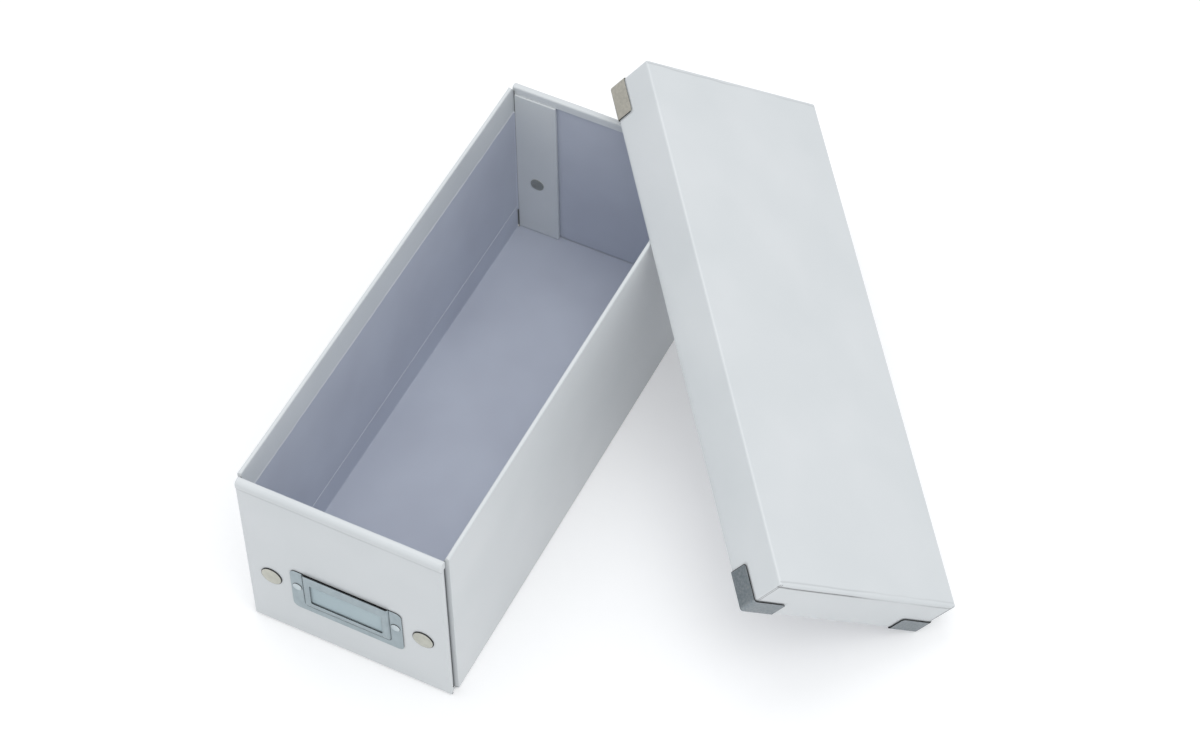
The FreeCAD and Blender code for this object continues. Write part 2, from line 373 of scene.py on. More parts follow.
def fill(tree, node, inputs):
    """Give a node's inputs their values, or link them to the outputs given for them."""
    for name, value in inputs.items():
        if isinstance(value, bpy.types.NodeSocket):
            tree.links.new(value, node.inputs[name])
        else:
            node.inputs[name].default_value = value
    return node


def add_node(tree, kind, inputs):
    return fill(tree, tree.nodes.new("ShaderNode" + kind), inputs)


def new_material(name):
    """A material with its node tree, its shader and the object's own coordinates."""
    material = bpy.data.materials.new(name)
    material.use_nodes = True
    tree = material.node_tree
    place = add_node(tree, "TexCoord", {}).outputs["Object"]
    return material, tree, tree.nodes["Principled BSDF"], place


def noise_node(tree, place, size_mm, detail, rough=0.5):
    """A noise texture whose features are about size_mm across."""
    inputs = {"Vector": place, "Scale": 1 / (size_mm * MM), "Detail": detail, "Roughness": rough}
    return add_node(tree, "TexNoise", inputs).outputs["Fac"]


def ramp_node(tree, value, dark, light, reach=NOISE_REACH):
    """A noise's colour, from dark to light."""
    ramp = add_node(tree, "ValToRGB", {"Fac": value})
    low, high = ramp.color_ramp.elements
    low.position, high.position = 0.5 - reach, 0.5 + reach
    low.color, high.color = (*dark, 1), (*light, 1)
    return ramp.outputs["Color"]


def range_node(tree, value, middle, reach):
    """Maps noise to values round a middle one."""
    inputs = {"Value": value, "From Min": 0.5 - NOISE_REACH, "From Max": 0.5 + NOISE_REACH,
              "To Min": middle - reach, "To Max": middle + reach}
    return add_node(tree, "MapRange", inputs).outputs["Result"]


def bumps(tree, heights):
    """Several stacked (height, depth in millimetres) bumps."""
    inputs = {"Strength": 1.0}
    for height, depth in heights:
        inputs.update({"Height": height, "Distance": depth * MM})
        inputs["Normal"] = add_node(tree, "Bump", inputs).outputs["Normal"]
    return inputs["Normal"]


def painted_shade_node(tree, colour):
    """Darkens the colour by the painted shade that the mesh marks along folds, creases and pressed
    lines.
    """
    # The fold attribute holds painted shade: the share of light taken out of the colour.
    fold = add_node(tree, "Attribute", {})
    fold.attribute_name = "fold"
    shade = add_node(tree, "MapRange", {"Value": fold.outputs["Fac"], "To Min": 1.0, "To Max": 0.0})
    tone = add_node(tree, "HueSaturation", {"Value": shade.outputs["Result"], "Color": colour})
    return tone.outputs["Color"]


def paper_material(name, dark, light, rough, fibre_depth, gloss):
    """Covering paper: faint clouding, fine fibre, a slightly uneven film and painted shade along
    its marked folds.
    """
    material, tree, shader, place = new_material(name)
    cloud = noise_node(tree, place, 60, 2)
    fibre = noise_node(tree, place, 0.5, 4, 0.7)
    peel = noise_node(tree, place, 4, 2)
    colour = ramp_node(tree, cloud, dark, light)
    fill(tree, shader, {"Base Color": painted_shade_node(tree, colour),
                        "Roughness": range_node(tree, fibre, rough, 0.05),
                        "Normal": bumps(tree, [(peel, 0.02), (fibre, fibre_depth)]),
                        "Coat Weight": gloss, "Coat Roughness": 0.22})
    return material


def metal_material(name, dark, light, rough, grain_mm, cloud_mm=7.0, grain_depth=0.012):
    """Satin plated metal: cloudy tone, fine grain, small rubs and painted shade along marked lines.
    """
    material, tree, shader, place = new_material(name)
    cloud = noise_node(tree, place, cloud_mm, 4, 0.6)
    grain = noise_node(tree, place, grain_mm, 3, 0.6)
    colour = ramp_node(tree, cloud, dark, light, 0.15)
    fill(tree, shader, {"Base Color": painted_shade_node(tree, colour), "Metallic": 1.0,
                        "Roughness": range_node(tree, grain, rough, 0.08),
                        "Normal": bumps(tree, [(grain, grain_depth)])})
    return material


def pulp_material(name, dark, light, speck_mm):
    """Unfinished board or paper, with specks of pulp."""
    material, tree, shader, place = new_material(name)
    speck = noise_node(tree, place, speck_mm, 5, 0.8)
    fill(tree, shader, {"Base Color": ramp_node(tree, speck, dark, light), "Roughness": 0.9,
                        "Normal": bumps(tree, [(speck, 0.05)])})
    return material


WHITE = paper_material("outer_paper_film", (0.67, 0.70, 0.71), (0.71, 0.735, 0.745),
                       0.42, 0.006, 0.3)
# The lining's colour is darker and bluer than its paper: painted shade and blue reflection of the
# box's inside.
INSIDE = paper_material("lining_paper_matt", (0.50, 0.53, 0.61), (0.55, 0.585, 0.665),
                        0.72, 0.012, 0.0)
CARD = paper_material("card_paper_plain", (0.42, 0.52, 0.56), (0.46, 0.56, 0.59), 0.6, 0.008, 0.0)
TORN = pulp_material("lining_paper_edge", (0.70, 0.71, 0.74), (0.80, 0.81, 0.84), 0.4)
BOARD = pulp_material("grey_board_pulp", (0.20, 0.19, 0.17), (0.33, 0.32, 0.29), 0.7)
NICKEL = metal_material("stud_nickel_satin", (0.44, 0.44, 0.39), (0.52, 0.52, 0.46), 0.34, 0.4)
STEEL = metal_material("holder_steel_satin", (0.33, 0.385, 0.41), (0.38, 0.44, 0.465), 0.44, 0.35)
# A lighter copy of the holder steel: a painted highlight on the rivet heads.
RIVET_HIGHLIGHT = metal_material("holder_rivet_painted_highlight", (0.47, 0.53, 0.56), (0.54, 0.60, 0.62), 0.34, 0.35)
CORNER = metal_material("corner_steel_mottled", (0.21, 0.24, 0.26), (0.30, 0.325, 0.34), 0.42, 0.5,
                        cloud_mm=1.4, grain_depth=0.02)
CORNER_WARM = metal_material("corner_steel_warm", (0.37, 0.36, 0.32), (0.45, 0.435, 0.385),
                             0.42, 0.5, cloud_mm=2.2, grain_depth=0.02)
# Near-black edge material: painted shadow lines and dark reflections along edges of sheets, caps,
# rivets and the card, not the metal's colour.
SHADOW_EDGE = metal_material("sheet_painted_shadow_edge", (0.02, 0.02, 0.022), (0.06, 0.06, 0.062), 0.5, 0.3)


# Box body

BODY_HIGH = size("right_wall_wrap")[1]
FRONT_LOW, FRONT_HIGH = size("front_wall_board")
BASE_EDGE, BASE_END = size("base_board")[1].xy
HALF_WIDTH = BODY_HIGH.x
END_HALF = FRONT_HIGH.x + PAPER
FRONT = FRONT_LOW.y - PAPER
TOP = FRONT_HIGH.z + PAPER
BOARD_THICK = FRONT_HIGH.y - FRONT_LOW.y
WALL_THICK = PAPER + BOARD_THICK
WALL_END = BODY_HIGH.y
FOLD_X = HALF_WIDTH - CORNER_RADIUS
FOLD_TOP = size("front_right_flap_wrap")[1].z
FLAP_INNER = size("rear_right_flap_board")[0].y - LINING
LIP_DEPTH = 2 * PAPER + 2 * BOARD_THICK
LIP_FOOT = TOP - RIM_HEIGHT
CREASE = TOP - ROLL_HEIGHT
INNER_X = HALF_WIDTH - 2 * PAPER - BOARD_THICK
LINING_TOP = TOP - TURN_IN


def paper(name, points, faces, body="box_body", nodes=(), shade_marks=None, thickness=SKIN):
    """A piece of outer paper, with painted shade marked along its creases and folds."""
    piece = build(name, points, faces, body, "outer_paper", nodes, WHITE)
    if shade_marks:
        mark_painted_shade(piece, shade_marks)
    thicken(piece, thickness)
    return piece


def roll_fall(z, radius):
    """How far a rounded top of a radius has drawn in at a height."""
    rise = min(1.0, max(0.0, (z - (TOP - radius)) / radius))
    return radius * (1 - math.sqrt(1 - rise * rise))


def crease_height(x, seed):
    """Height of an end wall's crease, which wavers a little."""
    return CREASE + 0.35 * waver((x, 0, 0), 38, seed + 5)


def face_depth(x, z, seed):
    """Depth of an end wall's outer face behind its plane: crease, padded roll and slight waves."""
    line = crease_height(x, seed)
    shallow = 1 - 0.5 * ease(1 - (END_HALF - abs(x)) / 3)
    waves = 0.9 + 0.25 * waver((x, 9, 0), 16, seed)
    depth = CREASE_DEPTH * shallow * waves * bell(z - line, CREASE_WIDTH)
    above = ease((z - line) / 1.9) * ease((TOP + 1 - z) / 4)
    depth -= ROLL_SWELL * above * (1 + 0.5 * waver((x, 3, 0), 28, seed + 2))
    side_line = bell(abs(x) - (END_HALF - SIDE_LINE_PLACE), SIDE_LINE_WIDTH)
    depth += SIDE_LINE_DEPTH * side_line * ease((line - z) / 3)
    depth += 0.05 * waver((x, 0, z), 45, seed) * ease((END_HALF - abs(x)) / 12)
    return depth + roll_fall(z, ROLL_RADIUS)


def end_rows():
    """Heights of an end wall's paper, close together at its crease and over its roll."""
    rows = spread(FOOT_RADIUS, CREASE - 3)
    rows += [CREASE + d for d in (-2.0, -1.3, -0.8, -0.4, -0.1, 0.2, 0.4)]
    rows += [LIP_FOOT + d for d in (0.0, 0.02, 0.5, 1.2, 2.2, 3.0)]
    turns = [math.radians(a) for a in (0, 15, 30, 42, 54, 65, 75, 83, 90)]
    return rows + [TOP - ROLL_RADIUS * (1 - math.sin(a)) for a in turns]


def end_ring(z, columns, seed):
    """One level of an end wall's paper as (x, depth): front, right edge, back, left edge."""
    fall = roll_fall(z, ROLL_RADIUS)
    half = END_HALF + STAND_OFF - min(ROLL_END_FALL, 0.5 * fall)
    half -= CREASE_PINCH * bell(z - CREASE, 0.9)
    deep = LIP_DEPTH if z > LIP_FOOT + 0.01 else WALL_THICK + STAND_OFF
    back = deep - roll_fall(z, ROLL_BACK_RADIUS)
    right = arc((half - EDGE_ROUND, EDGE_ROUND), EDGE_ROUND, -90, 0, 4)
    right += [(half, EDGE_ROUND + (deep - BACK_BEND - EDGE_ROUND) * i / 4) for i in range(1, 5)]
    right += [(half - 0.06, deep - 0.08), (half - BACK_BEND, deep)]
    offset = face_depth(half - EDGE_ROUND, z, seed) - fall
    right = [(x, fall + d * (back - fall) / deep + offset * (1 - i / (len(right) - 1)))
             for i, (x, d) in enumerate(right)]
    squeeze = (half - EDGE_ROUND) / (END_HALF - EDGE_ROUND)
    ring = [(x * squeeze, face_depth(x * squeeze, z, seed)) for x in columns[1:-1]] + right
    draw_in = (right[-1][0] - BACK_BEND) / columns[-2]
    ring += [(x * draw_in, back) for x in reversed(columns[1:-1])]
    return ring + [(-x, d) for x, d in reversed(right)]


def end_paper(wall, side, body, seed):
    """Outer paper of an end wall, padded over its rim. Side is 1 at the front, -1 at the rear."""
    outer = END_HALF - EDGE_ROUND
    edge = [outer - d for d in (0.0, 0.35, 0.7, 1.0, 1.35, 1.9, 3.0, 4.5)]
    columns = merged([-x for x in edge] + spread(6 - outer, outer - 6, 2.5) + edge)
    points, shade_marks = [], []
    rows = end_rows()
    for z in rows:
        for x, depth in end_ring(z, columns, seed):
            lift = 0.12 * waver((x, 0, 0), 30, seed + 3) * ease((z - CREASE) / 3)
            points.append(Vector((x, side * (FRONT + depth), z + lift)))
            # Painted shade along the crease under the roll, on the front face only.
            crease_shade = 0.12 + 0.09 * waver((x, 6, 0), 20, seed)
            shade_marks.append(crease_shade * bell(z - crease_height(x, seed), 0.7) if depth < 1 else 0.0)
    count = len(points) // len(rows)
    flat = len(columns) - 2
    edge_count = (count - 2 * flat) // 2
    back = range(flat + edge_count, 2 * flat + edge_count - 1)
    faces = []
    for j in range(len(rows) - 1):
        for i in range(count):
            if i in back and rows[j + 1] < LIP_FOOT + 0.01:
                continue
            k = (i + 1) % count
            faces.append([j * count + i, j * count + k, (j + 1) * count + k, (j + 1) * count + i])
    top = (len(rows) - 1) * count
    for i in range(flat - 1):
        far = 2 * flat + edge_count - 1 - i
        faces.append([top + i, top + i + 1, top + far - 1, top + far])
    faces.append([top + i for i in range(flat - 1, flat + edge_count + 1)])
    faces.append([top + i for i in range(2 * flat + edge_count - 1, count)] + [top])
    paper(wall + "_paper", points, flipped(faces, side < 0), body, [wall + "_wrap"], shade_marks)


def foot_fold(name, side, body, nodes):
    """The paper going round the foot of an end wall, from the base up to the wall."""
    profile = arc((FRONT + FOOT_RADIUS, FOOT_RADIUS), FOOT_RADIUS, 270, 180, 8)
    half = END_HALF - 0.05
    columns = [[Vector((x, side * y, z)) for y, z in profile] for x in spread(-half, half)]
    points, faces = grid(columns)
    return paper(name, points, flipped(faces, side < 0), body, nodes)


def foot_folds():
    """Both foot papers. The front one rides on no body, with its place baked into its points."""
    front = foot_fold("front_foot_paper", 1, None, ["front_base_fold"])
    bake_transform(front)
    foot_fold("rear_foot_paper", -1, "box_body", [])


# Plan of a corner's paper hinge from the flap to the wall, with the painted shade on its fold: a
# recessed strip and a crisp edge
HINGE_PLAN = [(0.0, 1.5, 0.9), (0.4, 1.46, 0.86), (0.8, 1.38, 0.7), (1.2, 1.3, 0.4),
              (1.7, 1.2, 0.2), (2.4, 1.06, 0.16), (3.0, 0.94, 0.16), (3.35, 0.85, 0.15),
              (3.52, 0.74, 0.06), (3.6, 0.55, 0.0)]


def corner_column(out, depth, face_steps, over_steps, inner_heights):
    """Points up a corner's hinge: its outside, its closed top and its inside down to the lining."""
    turn = out / CORNER_RADIUS
    inside = math.radians(90 * turn)
    inner_x = FOLD_X + (INNER_X - FOLD_X) * math.sin(inside)
    inner_y = WALL_END + (FLAP_INNER - WALL_END) * math.cos(inside)
    foot = FOOT_RADIUS + 0.25 * (1 - turn)
    head = FOLD_TOP - 0.9 + 2.7 * turn
    x, y = FOLD_X + out, WALL_END + depth
    column = [(x, y, foot + (head - foot) * t) for t in face_steps]
    column += [(x + (inner_x - x) * t, y + (inner_y - y) * t, head + 0.3 * math.sin(math.pi * t))
               for t in spread(0, 1, 1 / over_steps)[1:]]
    return column + [(inner_x, inner_y, z) for z in inner_heights]


def side_paper(wall, side, seed):
    """Paper of a long wall: under the foot, up, over the rim and in, and round both corners."""
    rim_foot = TOP - WALL_RIM_RADIUS
    under = [(FOOT_RADIUS - x, z) for x, z in arc((0, FOOT_RADIUS), FOOT_RADIUS, 270, 360, 6)][:-1]
    over = [(WALL_RIM_RADIUS - x, z) for x, z in arc((0, rim_foot), WALL_RIM_RADIUS, 0, 90, 4)]
    thick = HALF_WIDTH - INNER_X
    over += [(thick - WALL_RIM_RADIUS - x, z)
             for x, z in arc((0, rim_foot), WALL_RIM_RADIUS, 90, 180, 4)]
    inner_heights = spread(rim_foot, LINING_TOP - 2)[1:]
    steps = spread(0, 1, 1 / 44)
    columns = []
    for out, depth, _ in HINGE_PLAN:
        column = corner_column(out, depth, steps, len(over) - 1, inner_heights)
        columns.append([None] * len(under) + [Vector((x, -y, z)) for x, y, z in column])
    for y in spread(-WALL_END, 0):
        face = [(0.0, FOOT_RADIUS + (rim_foot - FOOT_RADIUS) * t) for t in steps]
        inner = [(thick, z) for z in inner_heights]
        column = []
        for depth, z in under + face + over[1:] + inner:
            bow = 0.06 * (waver((0, y, z), 55, seed) - 1) * ease((WALL_END - abs(y)) / 12)
            rim_wave = 0.10 * waver((0, y, 5), 35, seed + 2) * ease((z - rim_foot) / 0.9)
            column.append(Vector((HALF_WIDTH - depth + bow * min(1, z / 20), y, z + rim_wave)))
        columns.append(column)
    rear = [[None if p is None else Vector((p.x, -p.y, p.z)) for p in column]
            for column in reversed(columns[:-1])]
    points, faces = grid(columns + rear)
    points = [Vector((side * p.x, p.y, p.z)) for p in points]
    # Painted shade on the hinge strips at both ends, none on the wall between them.
    dark = [plan[2] for plan in HINGE_PLAN]
    dark += [0.0] * (len(columns) - 2 * len(HINGE_PLAN) + len(rear)) + dark[::-1]
    shade_marks = [dark[i] for i, column in enumerate(columns + rear) for p in column if p is not None]
    paper(wall + "_paper", points, flipped(faces, side < 0), nodes=[wall + "_wrap"], shade_marks=shade_marks)


def lining(name, points, faces, nodes, body="box_body"):
    """A lining sheet, with the bare edge of its paper all round."""
    piece = build(name, points, faces, body, "lining_paper", nodes, INSIDE, TORN)
    thicken(piece, LINING, edge_material=1)
    return piece


def side_lining(wall, side, seed):
    """Lining of a long wall, over the turned-in paper at its top and round into both corners."""
    face = INNER_X - LINING
    turn = 1.0
    reach = WALL_END - 0.1
    corner = [(face - turn + x, reach + y) for x, y in arc((0, 0), turn, 80, 0, 5)][:-1]
    plan = [(x, -y) for x, y in corner] + [(face, y) for y in spread(-reach, reach)] + corner[::-1]
    columns = []
    for x, y in plan:
        edge = LINING_TOP + 0.4 * waver((0, y, 0), 6, seed) + 0.3 * waver((0, y, 0), 40, seed)
        torn = edge - TORN_WIDTH - 0.5 * waver((0, y, 4), 4, seed)
        heights = spread(FLOOR_MARGIN - 1, LINING_TOP - 2.5) + [torn, edge]
        column = [Vector((side * x, y, z)) for z in heights]
        columns.append(column + [Vector((side * (x + TORN_LEAN), y, edge + TORN_RISE))])
    points, faces = grid(columns)
    piece = lining(wall + "_inner", points, flipped(faces, side > 0), [wall + "_lining"])
    rows = len(columns[0]) - 1
    for polygon in piece.data.polygons[:len(faces)]:
        if polygon.index % rows >= rows - 2:
            polygon.material_index = 1


def end_lining(end, side, body):
    """Lining of an end wall's inner face, cut out round its sockets."""
    half, foot, head = END_HALF - PAPER, FOOT_RADIUS + 0.1, LIP_FOOT - 0.05
    sockets = end + "_stud_sockets"
    radius = (size(sockets)[1].z - size(sockets)[0].z) / 2 + SOCKET_GAP
    places = stud_places(sockets)
    across, up = spread(-half, half), spread(foot, head)
    for x, z in places:
        across = [a for a in across if abs(a - x) > radius]
        up = [u for u in up if abs(u - z) > radius]
    turns = [radius * math.cos(math.radians(15 * i)) for i in range(7)]
    turns = [-t for t in turns[:-1]] + turns[::-1]
    for x, z in places:
        across += [x + t for t in turns]
        up += [z + t for t in turns]

    def keep(a, u):
        return all(math.hypot(a - x, u - z) > radius - SLACK for x, z in places)

    flat, faces = cut_grid(merged(across), merged(up), keep)
    points = [Vector((x, side * (FRONT + WALL_THICK + LINING), z)) for x, z in flat]
    lining(end + "_wall_inner", points, flipped(faces, side < 0), [end + "_wall_lining"], body)


def floor_lining():
    """Lining of the floor, turned up along both long walls."""
    low = WALL_THICK + LINING
    inner = INNER_X - 2 * LINING
    bend = 0.8
    right = arc((inner - bend, low + bend), bend, -90, 0, 4)
    right += [(inner, z) for z in spread(low + bend, low + FLOOR_MARGIN)[1:]]
    flat = [(x, low) for x in spread(bend - inner, inner - bend)[1:-1]]
    profile = [(-x, z) for x, z in reversed(right)] + flat + right
    columns = []
    rows = [-BASE_END, -WALL_END - 0.1] + spread(-WALL_END, WALL_END) + [WALL_END + 0.1, BASE_END]
    for y in rows:
        column = []
        for x, z in profile:
            rise = 0.06 * waver((x, y, 0), 40, 9) * (abs(x) < inner - 3)
            beyond = abs(y) > WALL_END and z > low
            column.append(None if beyond else Vector((x, y, z + rise)))
        columns.append(column)
    points, faces = grid(columns)
    lining("floor_lining", points, flipped(faces), ["base_lining"])


def flap_paper(node, seed):
    """Paper round one corner flap, all of it closed."""
    low, high = size(node + "_board")
    cover, radius = Vector((PAPER, PAPER, LINING)), 0.45
    low, high = low - cover, high + cover
    core_low, core_high = low + Vector([radius] * 3), high - Vector([radius] * 3)

    def place(p):
        base = clamped(p, core_low, core_high)
        bow = 0.05 * waver((p.x, 0, p.z), 30, seed)
        return base + (p - base).normalized() * (radius + bow)

    lines = [merged(bend_lines(a, b, radius, 3) + spread(a + 1, b - 1, 4))
             for a, b in zip(low, high)]
    points, faces, _ = box_skin(*lines, place)
    build(node + "_paper", points, faces, "box_body", "outer_paper", [node + "_wrap"], WHITE)


def base_corner(corner, side_x, side_y):
    """Paper over the base board's bare end, between the foot fold and the side wall's corner."""
    profile = [(BASE_EDGE - 0.5, 0.02)] + arc((BASE_EDGE - 0.3, 0.52), 0.5, -90, 0, 4)
    profile += [(BASE_EDGE + 0.2, 1.3)] + arc((BASE_EDGE, 2.22), 0.2, 0, 90, 3)
    profile += [(BASE_EDGE - 0.35, 2.42)]
    points, faces = grid([[Vector((side_x * x, side_y * y, z)) for x, z in profile]
                          for y in spread(WALL_END - 0.1, BASE_END + 0.1, 1)])
    paper(corner + "_base_corner", points, flipped(faces, side_x * side_y < 0), thickness=BASE_SKIN)


def base_end():
    """Paper over the end of the base board, seen when the front wall is let down."""
    profile = [(BASE_END + 0.1, 0.35), (BASE_END + 0.1, 1.3)]
    profile += arc((BASE_END - 0.1, 2.24), 0.2, 0, 90, 3) + [(BASE_END - 0.4, 2.44)]
    points, faces = grid([[Vector((x, -y, z)) for y, z in profile]
                          for x in spread(-BASE_EDGE, BASE_EDGE)])
    paper("base_end_paper", points, faces, thickness=BASE_SKIN)


def body_pieces():
    end_paper("front_wall", 1, "front_wall", 1.3)
    end_paper("rear_wall", -1, "box_body", 4.1)
    side_paper("right_wall", 1, 2.2)
    side_paper("left_wall", -1, 6.4)
    for (corner, _, _), seed in zip(CORNERS, (1.9, 5.3, 2.9, 6.3)):
        flap_paper(corner + "_flap", seed)
    side_lining("right_wall", 1, 3.3)
    side_lining("left_wall", -1, 7.5)
    end_lining("front", 1, "front_wall")
    end_lining("rear", -1, "box_body")
    floor_lining()
    foot_folds()
    base_end()
    for corner in CORNERS:
        base_corner(*corner)


# Round metal pieces

def turned(name, node, front, profile, band, side, body, slot, material):
    """Equal round pieces for a node's pair of studs, turned from one profile of (radius, height).

    Side is 1 where they face -Y. The first rings, up to the band's number, get the near-black edge
    material: painted shadow and dark reflection along their sides."""
    points, faces, marks = [], [], []
    angles = [2 * math.pi * i / SPOKES for i in range(SPOKES)]
    for x, z in stud_places(node):
        start = len(points)
        for radius, height in profile:
            points += [Vector((x + radius * math.cos(a), side * (front - height),
                               z + radius * math.sin(a))) for a in angles]
        for j in range(len(profile) - 1):
            low, high = start + j * SPOKES, start + (j + 1) * SPOKES
            for i in range(SPOKES):
                k = (i + 1) % SPOKES
                faces.append([low + i, low + k, high + k, high + i])
                marks.append(1 if j < band else 0)
        last = len(points) - SPOKES
        faces.append([last + i for i in range(SPOKES)])
        faces.append([start + i for i in reversed(range(SPOKES))])
        marks += [0, 1]
    piece = build(name, points, flipped(faces, side < 0), body, slot, [node], material, SHADOW_EDGE)
    piece.data.polygons.foreach_set("material_index", marks)
    sharpen(piece)


CAP_PROFILE = [(6.6, 0.0), (6.9, 0.08), (7.0, 0.25), (6.98, 0.48), (6.85, 0.66), (6.55, 0.80),
               (6.0, 0.88), (4.5, 0.97), (3.0, 1.03), (1.5, 1.07), (0.3, 1.09)]
RIVET_PROFILE = [(3.05, 0.0), (3.25, 0.12), (3.2, 0.38), (2.95, 0.68), (2.5, 0.94), (1.9, 1.12),
                 (1.2, 1.24), (0.4, 1.29)]


def stud_places(node):
    """Centre of each of a pair of studs, as (x, z)."""
    low, high = size(node)
    radius = (high.z - low.z) / 2
    return [(low.x + radius, low.z + radius), (high.x - radius, low.z + radius)]


def round_pieces():
    for end, side, body in (("front", 1, "front_wall"), ("rear", -1, "box_body")):
        turned(end + "_press_caps", end + "_stud_caps", FRONT, CAP_PROFILE, 5, side, body,
               "stud_nickel", NICKEL)
    turned("holder_rivet_heads", "label_holder_rivets", FRONT - HOLDER_SHEET, RIVET_PROFILE, 3, 1,
           "front_wall", "holder_steel", RIVET_HIGHLIGHT)


# Label holder

HOLDER_LOW, HOLDER_HIGH = size("label_holder")
HOLDER_HALF = HOLDER_HIGH.x
PLATE_RISE = 0.8
FRAME_RISE = FRONT - HOLDER_LOW.y
WINDOW_TOP = HOLDER_HIGH.z - WINDOW_TOP_DROP
WINDOW_FOOT = WINDOW_TOP - WINDOW_HEIGHT
FRAME_FOOT = HOLDER_HIGH.z - FRAME_DROP


def corner_lines(edge, radius, sign, steps=7):
    """Grid lines at which the chords of a rounded corner meet, from its edge inwards."""
    turns = [math.radians(90 * i / steps) for i in range(steps + 1)]
    return [edge - sign * radius * (1 - math.sin(a)) for a in turns]


def inside_round(x, z, half, low, high, radius):
    """How deep a point lies inside a rounded rectangle. Less than zero is outside."""
    across, up = half - abs(x), min(z - low, high - z)
    if across < radius and up < radius:
        return radius - math.hypot(radius - across, radius - up)
    return min(across, up)


def plate_gap(x, z):
    """How deep a point of the holder lies inside its plate's outline."""
    return inside_round(x, z, HOLDER_HALF, HOLDER_LOW.z, HOLDER_HIGH.z, HOLDER_CORNER)


def window_gap(x, z):
    """How deep a point of the holder lies inside its window."""
    return inside_round(x, z, WINDOW_HALF, WINDOW_FOOT, WINDOW_TOP, WINDOW_CORNER)


def frame_gap(x, z):
    """How deep a point of the holder lies inside its raised frame, which runs out at the top."""
    return inside_round(x, z, FRAME_HALF, FRAME_FOOT, HOLDER_HIGH.z + 20, FRAME_CORNER)


def holder_rise(x, z):
    """How far the pressed sheet stands out: plate, engraved line, slope and raised frame."""
    gap = frame_gap(x, z)
    climb = min(gap / FRAME_SLOPE, (z - FRAME_FOOT) / FRAME_FOOT_SLOPE)
    rise = PLATE_RISE + (FRAME_RISE - PLATE_RISE) * ease(climb)
    rise -= LINE_DEPTH * bell(gap + 0.1, LINE_WIDTH)
    rise -= WINDOW_EDGE_FALL * ease(1 + window_gap(x, z) / EDGE_WIDTH)
    return rise - PLATE_EDGE_FALL * ease(1 - plate_gap(x, z) / EDGE_WIDTH)


def holder_lines():
    """Grid lines of the pressed plate, close together where its shape turns."""
    across = corner_lines(HOLDER_HALF, HOLDER_CORNER, 1)
    across += corner_lines(WINDOW_HALF, WINDOW_CORNER, 1, 4)
    across += [HOLDER_HALF - d for d in (0.2, 0.4)] + [WINDOW_HALF + d for d in (0.2, 0.4, 0.8)]
    across += [FRAME_HALF - d for d in SLOPE_LINES] + spread(0, WINDOW_HALF - 1, 2)
    across += spread(FRAME_HALF + 0.9, HOLDER_HALF - HOLDER_CORNER, 1.2)
    up = corner_lines(HOLDER_HIGH.z, HOLDER_CORNER, 1)
    up += corner_lines(HOLDER_LOW.z, HOLDER_CORNER, -1)
    up += corner_lines(WINDOW_TOP, WINDOW_CORNER, 1, 4)
    up += corner_lines(WINDOW_FOOT, WINDOW_CORNER, -1, 4)
    up += [HOLDER_HIGH.z - d for d in (0.2, 0.4)] + [HOLDER_LOW.z + d for d in (0.2, 0.4)]
    up += [FRAME_FOOT + d for d in SLOPE_LINES + (2.2,)]
    up += spread(WINDOW_FOOT + 1, WINDOW_TOP - 1, 2)
    up += [WINDOW_FOOT - d for d in (0.2, 0.4, 0.8, 1.6)]
    up += [WINDOW_TOP + d for d in (0.2, 0.4, 0.8, 2.0, 3.0)]
    return merged([-x for x in across] + across), merged(up)


def label_holder():
    """The pressed plate, its raised frame open along the top, and the steel behind the card."""

    def keep(x, z):
        return window_gap(x, z) < SLACK and plate_gap(x, z) > -SLACK

    places, faces = cut_grid(*holder_lines(), keep)
    points = [Vector((x, FRONT - holder_rise(x, z), z)) for x, z in places]
    piece = build("label_holder_plate", points, faces, "front_wall", "holder_steel",
                  ["label_holder"], STEEL, SHADOW_EDGE)
    # Painted shade along the foot of the engraved line round the frame.
    mark_painted_shade(piece, [FOLD_SHADE * bell(frame_gap(x, z) + 0.15, LINE_WIDTH) for x, z in places])
    # Its back and cut edges take the near-black edge material: painted shadow lines round the
    # pressed sheet.
    thicken(piece, HOLDER_SHEET, back_material=1, edge_material=1)

    half, foot, head = FRAME_HALF - BACK_INSET, FRAME_FOOT + BACK_INSET, HOLDER_HIGH.z - BACK_DROP
    rows = spread(foot, head - BACK_DARK_ROW, 4) + [head]
    points, faces = grid([[Vector((x, FRONT - BACK_SET, z)) for z in rows]
                          for x in spread(-half, half, 4)])
    back = build("label_holder_back", points, faces, "front_wall", "holder_steel", [], STEEL, SHADOW_EDGE)
    # The top row gets the dark edge material, a painted shadow line above the card.
    shadow_above(back.data, head - BACK_DARK_ROW)
    thicken(back, BACK_THICK)


# Lid

def cad_points(node):
    """Places of a CAD node's points, in metres."""
    return [v.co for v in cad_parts[node].data.vertices]


def skirt_centre(end):
    """Middle of one of the lid's skirt boards, in millimetres."""
    points = cad_points("lid_" + end + "_skirt_board")
    return sum(points, Vector()) / len(points) / MM


def lid_matrix():
    """Place of the lid: its own X, Y and Z, with the origin at the centre of its rim."""
    right, left = skirt_centre("right"), skirt_centre("left")
    across = (right - left).normalized()
    along = (skirt_centre("rear") - skirt_centre("front")).normalized()
    up = across.cross(along).normalized()
    turn = Matrix((across, along, up)).transposed()
    middle = (right + left) / 2
    lowest = min((p / MM - middle).dot(up) for p in cad_points("lid_wrap"))
    return Matrix.Translation(middle + up * lowest) @ turn.to_4x4()


# The lid's place, and its highest corner in its own axes
LID = lid_matrix()
LID_INVERSE = LID.inverted()
LID_POINTS = [LID_INVERSE @ (p / MM) for p in cad_points("lid_wrap")]
LID_HIGH = Vector([max(p[i] for p in LID_POINTS) for i in range(3)])
LID_CORE = LID_HIGH - Vector([LID_ROUND] * 3)


